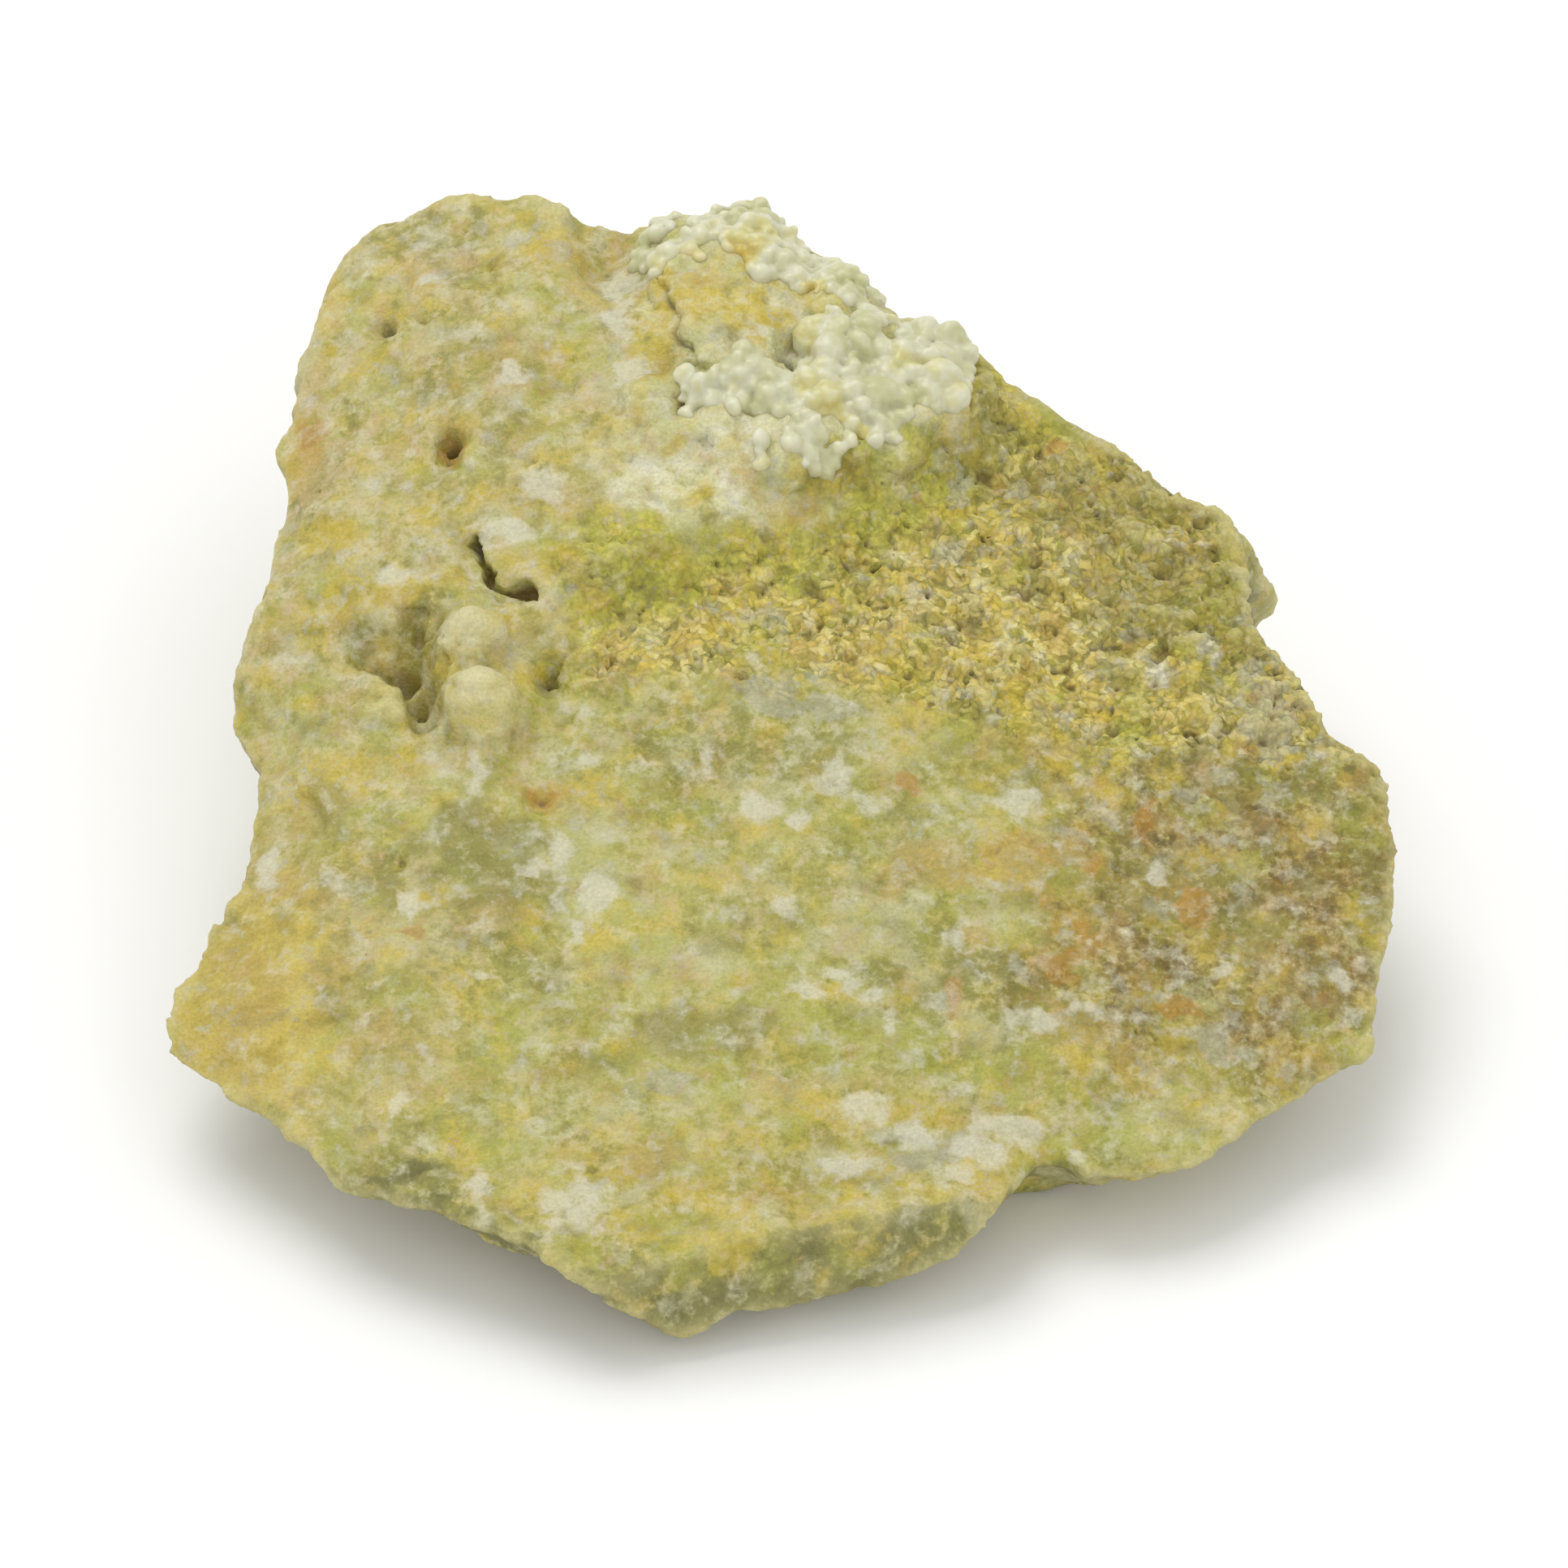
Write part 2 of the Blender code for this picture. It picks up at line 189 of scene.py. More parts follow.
# The parts of the top, as outlines seen from above in millimetres: the cream weathered plateau, the
# pale crust under the beads, the golden face beside the crest, the green slope, the band of packed
# ochre grains and its duller end, the right side with its brown iron-stained corner, the tan shoulder,
# the honey edge, whose yellow is partly a painted glow of light through the thin lip, and the lower
# band. The broken facet and the walls follow from how a face is turned.
ZONES = {
    "plateau": [(-21, 0), (-16.5, -2), (-12, -2.5), (-9.5, 0), (-8.5, 4), (-6, 7), (-5.5, 13.5),
                (-4.5, 25), (-12, 29), (-21, 27), (-23, 10)],
    "fringe": [(-6.5, 13), (-7, 9), (-7.2, 6.5), (-4.8, 6.9), (-2.4, 6.9), (-0.4, 7.3), (1.6, 8.2),
               (2.5, 9.2), (5, 10), (5.5, 11.2), (7.3, 11.6), (7.8, 13.5), (7.5, 16), (4, 19), (0, 22.5),
               (-3, 23.5), (-5.5, 22), (-6.5, 18), (-3.5, 12.5)],
    "block": [(-4.9, 17.7), (-3.2, 18.1), (-1.1, 17.3), (0.4, 17.2), (0.5, 15), (-0.4, 14.5), (-2.4, 14),
              (-3.8, 14.3)],
    "slope": [(-8.5, 6.5), (-3, 6.8), (0, 7.3), (2.5, 9.2), (5.5, 10.5), (7.6, 11.6), (8.2, 15.5),
              (11, 14), (8, 10), (5.5, 8), (2, 6), (-3.5, 3.5), (-8, 1.5), (-9, 3.5)],
    "sandy": [(-8.5, 1.5), (-3.5, 4), (2, 6.5), (6.5, 9.5), (9.5, 14), (14, 13), (19, 9.5), (23, 3),
              (24, -1), (20, -1), (13.5, -2), (6.5, -0.5), (0, 1), (-7.5, -0.5)],
    "dusky": [(8, 13), (14, 13.5), (20, 9.5), (24.5, 2), (24.5, -2), (17, -1), (13, 3), (9, 8)],
    "right": [(7, 3), (13, -1), (19, 0), (25, 1), (26, -12), (20, -18), (12, -17.5), (8, -13),
              (10, -7)],
    "brown": [(10.5, -3.5), (15.5, -3), (20, -3), (25, -4.5), (25, -10), (21, -14.5), (14, -15),
              (10, -13.5), (9, -8.5)],
    "tan": [(-21.5, -1.5), (-16.5, -6), (-12.5, -11), (-12.5, -17), (-16, -20.5), (-21, -19), (-25, -11)],
    "honey": [(-25, -8), (-20, -7.5), (-18, -10.5), (-17, -14.5), (-18.5, -20), (-25, -18)],
    "lower": [(-10.5, -23.5), (-6.5, -26), (-3, -27), (3.5, -26), (8.5, -23), (10, -20), (6, -18),
              (1.5, -20.5), (-3.5, -22), (-9, -20)],
}
ZONE_EDGES = {
    "honey": 3.0, "tan": 4.0, "brown": 4.0, "right": 5.0, "sandy": 2.6, "slope": 2.0, "lower": 2.5,
    "dusky": 6.0, "block": 1.2,
}
USUAL_EDGE = 1.6
WARP_SIZE, WARP_REACH = 2.2, 1.8
TOP_GAIN, TOP_START = 2.5, 0.2
FACET_GAIN, FACET_START, FACET_Y, FACET_EDGE = 4, 1.2, -20, 2


def weigh_zones(points, normals):
    """How much each vertex belongs to each part of the surface, with wavering borders between them."""
    waver = [smooth_noise(points, WARP_SIZE, seed, octaves=3) * WARP_REACH for seed in (1, 2)]
    x = points[:, 0] / MM + waver[0]
    y = points[:, 1] / MM + waver[1]
    upward = np.clip(normals[:, 2] * TOP_GAIN + TOP_START, 0, 1)
    found = {}
    for name, outline in ZONES.items():
        found[name] = zone_weight(outline, x, y, ZONE_EDGES.get(name, USUAL_EDGE)) * upward
    forward = np.clip(-normals[:, 1] * FACET_GAIN - FACET_START, 0, 1)
    found["facet"] = forward * np.clip((FACET_Y - y) / FACET_EDGE, 0, 1)
    found["wall"] = np.clip(1 - upward, 0, 1)
    return found


body = add_object("opal_body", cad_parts["opal"].data.copy())
body.modifiers.new("merge", "WELD").merge_threshold = MERGE_DISTANCE
faces = body.modifiers.new("even faces", "REMESH")
faces.mode = "VOXEL"
faces.voxel_size = FACE_SIZE
soften = body.modifiers.new("soften", "SMOOTH")
soften.factor = SMOOTH_SHARE
soften.iterations = SMOOTH_ROUNDS
plain_mesh(body)

# Relief in millimetres. Each part has its own roughness, which scales the lumps and flakes. Lumps are
# size, height and the share of it that even smooth parts have.
ROUGH = {
    "plateau": 0.55, "fringe": 0.5, "block": 0.35, "slope": 0.8, "sandy": 0.9, "right": 0.6,
    "tan": 0.3, "honey": 0.2, "lower": 0.4, "facet": 0.15, "wall": 0.5,
}
ROUGH_ELSEWHERE = 0.3
LUMPS = [(2.4, 0.16, 0.15), (1.2, 0.13, 0.3), (0.6, 0.09, 0.3)]
FLAKE_SIZE, FLAKE_HEIGHT, FLAKE_TILT, FLAKE_LEAST = 1.9, 0.16, 1.6, 0.3
# Grains, crooked gaps and ledges stand in the ochre band, and grains less in the parts beside it
GRAINY = {"sandy": 1.0, "right": 0.5, "slope": 0.6}
GRAIN_SIZE, GRAIN_HEIGHT, GRAIN_TILT, GRAIN_GROUP = 0.5, 0.2, 1.5, 2.0
GROUP_SHARE, GROUP_SWAY, GROUP_RANGE = 0.8, 0.8, (0.25, 1.4)
GAP_SIZE, GAP_DEPTH, GAP_WIDTH = 1.3, 0.24, 0.12
LEDGE_SIZE, LEDGE_HEIGHT, LEDGE_STRETCH = 1.2, 0.28, (0.35, 1.0, 1.0)
# Round knobs under the beads
KNOB_SIZE, KNOB_HEIGHT, KNOB_MIDDLE = 0.8, 0.2, 0.6
# Places are seen from above, as x and y, and waver a little. What stands there fades on the walls.
MARK_WAVER_SIZE, MARK_WAVER = 0.9, 0.35
UPWARD_GAIN = 2
# Pits as x, y, radius and depth
PIT_RIM, PIT_WALL = 1.2, 0.7
PITS = [
    (-13.0, 10.8, 0.34, 1.0), (-13.3, 10.1, 0.22, 0.5), (-15.7, 17.5, 0.36, 0.5), (-14.2, 17.2, 0.3, 0.3),
    (-14.1, 2.4, 0.5, 0.7), (-15.0, 1.4, 1.1, 0.5), (-13.9, 0.2, 0.5, 0.5), (-9.0, 0.6, 0.3, 0.6),
    (-9.4, -5.1, 0.3, 0.3), (-14.8, -7.6, 0.25, 0.2), (0.3, 13.6, 0.5, 0.5), (5.5, 13.6, 0.35, 0.6),
    (5.1, -21.3, 0.25, 0.2), (13.7, 4.8, 0.2, 0.3),
]
# Cracks as width, depth, below 0 for a ridge, and corners
CRACKS = [
    (0.42, 1.0, [(-12.1, 5.9), (-11.9, 4.9), (-11.4, 4.1), (-10.6, 3.7), (-9.9, 3.3)]),
    (0.22, 0.35, [(-5.1, 18.2), (-4.5, 16.0), (-4.2, 14.6), (-3.5, 12.4)]),
    (0.35, 0.4, [(-3.6, 12.5), (-2.9, 12.2), (-2.2, 12.3)]),
    (0.5, 0.25, [(-19.4, -3.0), (-18.2, -4.6), (-17.6, -7.0)]),
    (0.6, -0.15, [(-15.5, -12.0), (-17.8, -13.8), (-20.2, -15.6)]),
    (0.4, 0.2, [(16.5, -3.4), (19.5, -4.6), (22.8, -5.0)]),
]
# Nodules as x, y, half width, half depth and height
NODULE_WAVER_SIZE, NODULE_WAVER, NODULE_ROUNDNESS = 2.0, 0.5, 0.7
NODULES = [(-12.2, 1.2, 1.6, 1.4, 0.5), (-11.7, -1.6, 1.8, 1.5, 0.5), (-15.8, -0.6, 1.3, 1.0, 0.3)]
# Where the solid's own holes are evened before the finer ones are cut, as x, y and half sizes
EVENED = [
    (-4.9, 16.6, 1.6, 4.6), (-3.4, 13.4, 1.6, 1.2), (0.4, 14.4, 1.2, 1.4), (-11.2, 4.6, 1.8, 1.6),
    (-14.3, 1.2, 1.8, 2.0), (-9.0, 0.6, 1.0, 1.0),
]
EVEN_ROUNDS, EVEN_ABOVE = 30, 12
# The notch in the front rim, and the flat face below, which keeps no relief
NOTCH_X, NOTCH_Y, NOTCH_WIDTH, NOTCH_REACH, NOTCH_DEPTH = 9.9, -22.0, 1.8, 4.0, 1.5
FLAT_BASE, FLAT_START = 0.6, 0.1

points = read_points(body.data.vertices, "co")
edges = read_edges(body.data)
evened = mark_weight(EVENED, points[:, 0] / MM, points[:, 1] / MM) * (points[:, 2] > EVEN_ABOVE * MM)
points += (averaged(points, edges, EVEN_ROUNDS) - points) * evened[:, None]
sideways = (points[:, 0] / MM - NOTCH_X) / NOTCH_WIDTH
inward = (points[:, 1] / MM - NOTCH_Y) / NOTCH_REACH
points[:, 1] += NOTCH_DEPTH * MM * np.clip(1 - np.hypot(sideways, inward), 0, 1)
write_points(body.data, points)
normals = read_points(body.data.vertex_normals, "vector")
weights = weigh_zones(points, normals)
x = points[:, 0] / MM + smooth_noise(points, MARK_WAVER_SIZE, seed=11) * MARK_WAVER
y = points[:, 1] / MM + smooth_noise(points, MARK_WAVER_SIZE, seed=12) * MARK_WAVER
upward = np.clip(normals[:, 2] * UPWARD_GAIN, 0, 1)

rough = np.full(len(points), ROUGH_ELSEWHERE)
for name, value in ROUGH.items():
    rough += (value - rough) * weights[name]
grainy = np.clip(sum(share * weights[name] for name, share in GRAINY.items()), 0, 1)
relief = np.zeros(len(points))
bulge = smooth_noise(points, NODULE_WAVER_SIZE, seed=16) * NODULE_WAVER
for nodule_x, nodule_y, half_width, half_depth, height in NODULES:
    reach = np.hypot((x + bulge - nodule_x) / half_width, (y - bulge - nodule_y) / half_depth)
    dome = np.clip(1 - reach ** 2, 0, 1) ** NODULE_ROUNDNESS
    relief = np.maximum(relief, height * dome * upward)
for number, (size, height, least) in enumerate(LUMPS):
    relief += height * smooth_noise(points, size, seed=20 + number) * (least + rough)
broken = np.clip(FLAKE_LEAST + rough, 0, 1) * (1 - grainy)
relief += FLAKE_HEIGHT * flakes(points, FLAKE_SIZE, FLAKE_TILT, seed=5) * broken
grouped = GROUP_SHARE + GROUP_SWAY * smooth_noise(points, GRAIN_GROUP, seed=17)
grouped = grainy * np.clip(grouped, *GROUP_RANGE)
relief += GRAIN_HEIGHT * flakes(points, GRAIN_SIZE, GRAIN_TILT, seed=6) * grouped
ledges = smooth_noise(points * np.array(LEDGE_STRETCH), LEDGE_SIZE, seed=15)
relief += LEDGE_HEIGHT * ledges * weights["sandy"]
relief += KNOB_HEIGHT * (knobs(points, KNOB_SIZE, seed=8) - KNOB_MIDDLE) * weights["fringe"]
gaps = np.abs(smooth_noise(points, GAP_SIZE, seed=7, octaves=3)) / GAP_WIDTH
relief -= GAP_DEPTH * np.clip(1 - gaps, 0, 1) * grouped
cracks = crack_depth(CRACKS, x, y) * upward
relief -= cracks
sunk = np.zeros(len(points))
for pit_x, pit_y, radius, pit_depth in PITS:
    reach = np.hypot(x - pit_x, y - pit_y) / radius
    sunk = np.maximum(sunk, pit_depth * np.clip(PIT_RIM - reach, 0, PIT_WALL) / PIT_WALL)
relief *= np.clip((points[:, 2] / MM - FLAT_START) / FLAT_BASE, 0, 1)
points += normals * (relief * MM)[:, None]
points[:, 2] -= sunk * upward * MM
points[:, 2] = np.maximum(points[:, 2], 0)
write_points(body.data, points)

# How far each point lies below or above the surface round it, for the painted shade in hollows and the
# painted highlights on raised points and edges
HOLLOW_ROUNDS, HOLLOW_DEPTH = 16, 0.3
RIM_ROUNDS, RIM_HEIGHT = 60, 0.5
depth = sunken_by(points, normals, edges, HOLLOW_ROUNDS, HOLLOW_DEPTH)
rim = -sunken_by(points, normals, edges, RIM_ROUNDS, RIM_HEIGHT)
for name, values in (("hollow", depth), ("proud", -depth), ("rim", rim), ("sunk", sunk + cracks)):
    keep_values(body.data, name, np.clip(values, 0, 1))
thin = body.modifiers.new("thin", "DECIMATE")
thin.ratio = min(1, BODY_TRIANGLES / (2 * len(body.data.polygons)))
plain_mesh(body)

# Stains and inclusions. Each comes in ragged patches of its own size, over its own share of the
# surface, and more in some parts than in others. It also gathers at the marks, seen from above in
# millimetres: x, y, half width and half depth.
STAINS = {
    "cloud": {
        "size": 1.7, "share": 0.2, "colour": "#bfba8e", "strength": 0.6, "edge": 1.5,
        "zones": {"plateau": 0.4, "fringe": 0.3, "sandy": -0.6, "slope": -0.8, "right": -0.3, "block": -0.5,
                  "honey": -1.2, "tan": -0.5},
        "marks": [(-1.2, -5.5, 1.6, 1.2), (3, -11, 2.2, 1.2), (-8, -8, 1.4, 2.4), (-14, -12, 2.0, 1.0),
                  (-12.2, 1.2, 1.4, 1.2), (-11.7, -1.6, 1.5, 1.2), (-6.6, 13, 0.8, 1.6),
                  (-7.2, 18, 0.7, 1.6), (-2, 13.3, 1.4, 0.5), (-2, 19.6, 2.4, 0.9)],
    },
    "green": {
        "size": 2.2, "share": 0.2, "colour": "#a1a237", "strength": 0.65, "edge": 1.5,
        "zones": {"slope": 0.5, "lower": 0.4, "right": 0.3, "fringe": -0.2, "block": -1.0,
                  "honey": -1.2, "tan": -0.3},
        "marks": [(-6.5, -11, 1.6, 1.6), (1, -16, 2.4, 1.4), (5, 8.5, 2.4, 1.0), (17, 4, 1.6, 3.0),
                  (-12.5, -21, 1.0, 0.8), (8, -17, 2.6, 1.2), (6.3, 10.4, 1.6, 0.8),
                  (-5, 5.5, 2.0, 1.4), (-9, 15, 1.0, 3.0)],
    },
    "yellow": {
        "size": 1.4, "share": 0.1, "colour": "#c2ab3a", "strength": 0.7, "edge": 1.5,
        "zones": {"plateau": 0.6, "lower": 0.7, "tan": 0.2, "sandy": 0.4, "slope": 0.5, "right": 0.4,
                  "fringe": 0.1},
        "marks": [
            (-6, -25, 1.2, 0.8), (-12.5, -21, 0.9, 0.8), (7.5, -21.5, 1.0, 1.0), (-6.5, -11, 1.2, 1.0),
            (-9.5, 20, 1.0, 1.3), (-18.5, 19.5, 0.9, 1.8), (-3, -25.5, 1.5, 0.5), (-3.3, 7.2, 0.7, 0.5),
            (-12, 0.6, 0.7, 0.4), (2.5, -18.8, 1.6, 1.0), (-8, -5, 1.9, 0.8), (8.5, -7, 1.2, 1.3),
            (-17, 4, 2.6, 0.8), (-17, -3.5, 2.6, 1.0), (-17.5, 7, 0.9, 0.8), (-19.5, 12, 0.8, 0.8),
            (-11.7, 7.5, 1.0, 0.6),
            (-4.8, 14.4, 0.5, 2.0), (-4.9, 17, 0.4, 1.0), (0.9, 8.4, 0.7, 0.5), (4, 11.3, 0.5, 0.4),
            (5.5, 12.0, 1.2, 0.5), (2.4, 16.7, 0.4, 0.4), (-4.8, 9.6, 0.9, 0.4), (7, 11.8, 0.8, 0.8),
        ],
    },
    "pink": {
        "size": 1.2, "share": 0.02, "colour": "#bda578", "strength": 0.5, "edge": 1.6,
        "zones": {"plateau": 0.5, "right": 0.5, "slope": -1.0, "fringe": -0.5, "sandy": 0.4},
        "marks": [(-19, 15.5, 1.0, 1.2), (-14, 20.5, 1.4, 0.7), (-11, 13, 1.0, 0.8), (-18.5, 11, 1.0, 1.4),
                  (-1.6, 13.9, 0.8, 0.2)],
    },
    "tan": {
        "size": 1.8, "share": 0.05, "colour": "#b1954e", "strength": 0.55, "edge": 1.3,
        "zones": {"plateau": 0.2, "tan": 0.5, "honey": 0.5, "brown": 0.7, "sandy": 0.4, "slope": 0.1},
        "marks": [(-9.5, -5, 1.2, 0.7), (-11.5, -10.5, 1.2, 1.0), (8.5, -7, 1.3, 1.4), (6.5, -8, 2.2, 1.2),
                  (12.5, -15.5, 1.3, 1.0), (-5, -21.5, 1.2, 0.8), (-19.3, 12.5, 1.0, 1.6)],
    },
    "olive": {
        "size": 1.3, "share": 0.06, "colour": "#79722f", "strength": 0.55, "edge": 1.3,
        "zones": {"plateau": -0.3, "fringe": -0.6, "slope": 0.2, "right": 0.5, "wall": 0.4, "tan": -0.3,
                  "dusky": 1.7},
        "marks": [
            (-18, -5, 0.8, 1.2), (-14, -8.5, 0.5, 0.5), (3, -22, 0.9, 0.7), (5, -21.3, 0.5, 0.8),
            (23, -7.5, 1.0, 2.2), (1.9, 8.0, 1.0, 0.4), (-12, -6.5, 2.6, 1.0), (7.9, 12.4, 0.5, 2.0),
            (18, -10, 1.4, 1.2), (12.5, 10.5, 3.0, 1.4), (16, 5.5, 3.0, 1.8), (15, -8, 2.6, 1.6),
            (-3, -15.5, 2.4, 1.2), (6.9, 10.8, 1.4, 0.7),
            (8.5, 12.5, 0.8, 1.4), (-11, -9, 2.4, 1.6), (2.8, 9.0, 0.7, 0.5),
        ],
    },
    "grey": {
        "size": 1.1, "share": 0.03, "colour": "#a3a28c", "strength": 0.55, "edge": 1.1,
        "zones": {"fringe": 0.2, "right": 0.5, "dusky": 0.4, "plateau": 0.2},
        "marks": [(7, 10, 0.5, 0.6), (0.2, 13.6, 0.6, 0.6), (1.4, -0.7, 1.1, 0.7), (6.5, 7.3, 0.7, 0.5),
                  (17, -15, 0.8, 0.7), (5.2, -20.6, 1.7, 1.0), (-4.5, -18, 0.7, 0.6),
                  (-0.2, -0.3, 0.8, 1.2), (19, 0.5, 1.0, 2.0)],
    },
    "rust": {
        "size": 0.9, "share": 0.002, "colour": "#a87b25", "strength": 0.65, "edge": 1.8,
        "zones": {"brown": 0.8, "sandy": 0.4, "slope": -1.0},
        "marks": [
            (-18.7, 13, 0.6, 0.7), (-13.1, 10.5, 0.5, 0.6), (-9.5, -5, 0.6, 0.4),
            (-14.3, -11.4, 0.6, 0.3), (5.5, 9, 0.3, 0.4),
            (12, -7, 0.5, 0.6), (14, -5, 0.4, 0.8), (16, -9, 0.6, 0.8), (11.5, -11, 0.4, 1.0),
            (10.5, -12, 1.1, 0.5), (6.5, -13.5, 0.4, 0.5), (15, -13.5, 0.7, 0.5), (4.5, -4, 0.5, 0.5),
            (11, 12.5, 0.5, 0.4),
        ],
    },
    "white": {
        "size": 0.9, "share": 0.02, "colour": "#cfccb6", "strength": 0.65, "edge": 2.4,
        "zones": {"sandy": -0.6, "slope": -0.8, "honey": -0.6, "fringe": 0.5, "lower": 0.3, "wall": -0.5,
                  "plateau": 0.3},
        "marks": [
            (-12, -4, 0.3, 0.9), (-8, -3.5, 0.8, 0.5), (-3, -3.5, 0.3, 0.7), (2, -4, 0.7, 0.8),
            (3.5, -5, 0.6, 0.4), (-1.2, -5.5, 0.7, 0.7), (0.5, -6, 0.4, 0.4), (9, -4.5, 1.2, 0.5),
            (14.5, -7.5, 0.3, 0.5), (6.5, -11, 0.4, 0.4), (0, -10, 0.6, 0.4), (9.5, -14.5, 0.8, 0.7),
            (11.5, -14, 0.6, 0.4), (17, -11.5, 0.4, 0.4), (21.5, -11.5, 0.4, 0.5), (3, -19, 0.9, 0.8),
            (5, -20, 0.7, 0.7), (8.5, -19.5, 1.2, 0.7), (-8, -23.5, 1.1, 0.9), (-11.5, -23, 0.4, 0.6),
            (-15, -19, 0.4, 0.5), (-20, -6.5, 0.4, 1.0), (-14.5, -10, 0.4, 0.8), (-11, 13.5, 0.6, 0.6),
            (-9.5, 8, 0.8, 0.5), (-15.5, 4.5, 0.7, 0.4), (-11, 6, 1.0, 0.5), (-6.5, 16, 0.4, 1.6),
            (16.5, 3.5, 0.5, 0.7), (14.5, 2.5, 0.5, 1.0), (-14, 19.5, 0.5, 0.5), (-9.7, -8.3, 0.3, 0.7),
            (-8.8, -9.6, 0.3, 0.7), (-8, -11, 0.3, 0.6), (1, -13.6, 0.5, 0.3), (2.2, -13.2, 0.5, 0.3),
            (3.4, -13.9, 0.4, 0.3), (4.2, -15.2, 0.3, 0.6), (6.5, -21.8, 0.8, 0.6), (11, -20.5, 0.6, 0.4),
            (-12.6, 1.4, 0.8, 0.6), (-11.9, -1.2, 0.8, 0.7), (-6.7, 18.4, 0.5, 1.4), (-6, 13.2, 0.5, 0.8),
            (-8.6, -7.4, 0.4, 1.0), (-7.4, -9.4, 0.5, 1.0), (2.4, -21.6, 1.0, 0.6), (7.6, -20.6, 1.0, 0.5),
        ],
    },
}
BARE_FACET = 0.8
MARK_PULL, PULL_GAIN, MARK_UPWARD_GAIN = 0.6, 2, 3
STAIN_WAVER_SIZE, STAIN_WAVER = 0.8, 0.5
GRAINY_SEEN = {"sandy": 1.0, "right": 0.4, "slope": 0.7}
BROAD_SIZE = 5.0

points = read_points(body.data.vertices, "co")
normals = read_points(body.data.vertex_normals, "vector")
weights = weigh_zones(points, normals)
x = points[:, 0] / MM + smooth_noise(points, STAIN_WAVER_SIZE, seed=13) * STAIN_WAVER
y = points[:, 1] / MM + smooth_noise(points, STAIN_WAVER_SIZE, seed=14) * STAIN_WAVER
upward = np.clip(normals[:, 2] * MARK_UPWARD_GAIN, 0, 1)
for number, (name, stain) in enumerate(STAINS.items()):
    patches = smooth_noise(points, stain["size"], seed=40 + number, octaves=4)
    patches = (patches - np.quantile(patches, 1 - stain["share"])) / patches.std()
    for zone, more in stain["zones"].items():
        patches += more * weights[zone]
    patches -= BARE_FACET * weights["facet"]
    pull = MARK_PULL - PULL_GAIN * patches.mean()
    weights["stain_" + name] = patches + pull * mark_weight(stain["marks"], x, y) * upward
weights["grainy"] = np.clip(sum(share * weights[name] for name, share in GRAINY_SEEN.items()), 0, 1)
weights["broad"] = smooth_noise(points, BROAD_SIZE, seed=60)
for name, values in weights.items():
    keep_values(body.data, name, values)


def linear(hex_colour):
    """An sRGB colour such as #a0b0c0 as the linear colour that a shader takes."""
    channels = [int(hex_colour[i:i + 2], 16) / 255 for i in (1, 3, 5)]
    return (*[c / 12.92 if c <= 0.04045 else ((c + 0.055) / 1.055) ** 2.4 for c in channels], 1.0)


def per_mm(size_mm):
    """The pattern scale that gives features of a size in millimetres."""
    return 1 / (size_mm * MM)


def add_node(tree, kind, inputs=None, stops=None, **settings):
    """Adds a node: settings are its fields, inputs its values or the sockets that feed it."""
    made = tree.nodes.new(kind)
    for name, value in settings.items():
        setattr(made, name, value)
    for name, value in (inputs or {}).items():
        if isinstance(value, bpy.types.NodeSocket):
            tree.links.new(value, made.inputs[name])
        else:
            made.inputs[name].default_value = value
    if stops:
        while len(made.color_ramp.elements) < len(stops):
            made.color_ramp.elements.new(0.5)
        for element, (place, colour) in zip(made.color_ramp.elements, stops):
            element.position = place
            element.color = linear(colour)
    return made


# Raw green opal, broken and weathered: waxy at the fractures, chalky on the plateau, and granular in
# the ochre band. The eye gets soft clouds of cream in yellow-green, flecks of white and ochre about
# half a millimetre across, and ragged stains of yellow, olive and rust.
APRON_COLOURS = [(0.30, "#86823a"), (0.45, "#9b9746"), (0.57, "#a7a354"), (0.72, "#b6b273")]
ZONE_COLOURS = {
    "wall": [(0.30, "#6f6b38"), (0.46, "#8e894c"), (0.60, "#a19c60"), (0.76, "#b5b082")],
    "plateau": [(0.30, "#8c8642"), (0.45, "#a29a4c"), (0.57, "#aea45e"), (0.72, "#bdb687")],
    "tan": [(0.30, "#90873e"), (0.46, "#a19749"), (0.60, "#aaa058"), (0.75, "#b9b17c")],
    # The thin left edge: its own honey tint, with a painted glow of light shining through the thin lip
    "honey": [(0.30, "#ae9a40"), (0.48, "#b8a64b"), (0.62, "#c0b058"), (0.78, "#cabf7c")],
    "lower": [(0.30, "#908838"), (0.45, "#a3993f"), (0.58, "#ada250"), (0.74, "#bfb783")],
    "right": [(0.28, "#716a2d"), (0.45, "#8f8536"), (0.58, "#9e9340"), (0.74, "#b0a86b")],
    "brown": [(0.28, "#614f22"), (0.45, "#77632a"), (0.58, "#877536"), (0.74, "#9d8f5b")],
    "fringe": [(0.28, "#b4b071"), (0.44, "#c6c28c"), (0.57, "#d2cfa5"), (0.72, "#dbd9c2")],
    "slope": [(0.28, "#9c9645"), (0.44, "#b4ad4e"), (0.58, "#c3ba5b"), (0.74, "#d0c97e")],
    "block": [(0.28, "#b2a03a"), (0.44, "#bfab45"), (0.58, "#c7b659"), (0.74, "#cfc590")],
    # The broken facet is painted darker green as shade: it faces forward, away from the light
    "facet": [(0.28, "#6c6937"), (0.45, "#7d7942"), (0.58, "#88834d"), (0.76, "#9d9868")],
}
GRAIN_COLOURS = [
    (0.0, "#8c843a"), (0.2, "#a9a148"), (0.4, "#c6ac50"), (0.62, "#d3bd64"), (0.82, "#d5c98c"),
    (1.0, "#b9a358"),
]
GRAIN_SIZE_SEEN = 0.3
GRAIN_TONES = 0.92, 1.22
FLECKS = [(0.7, 0.10, "#d2ceb6", 0.32), (0.6, 0.12, "#958a3a", 0.4)]
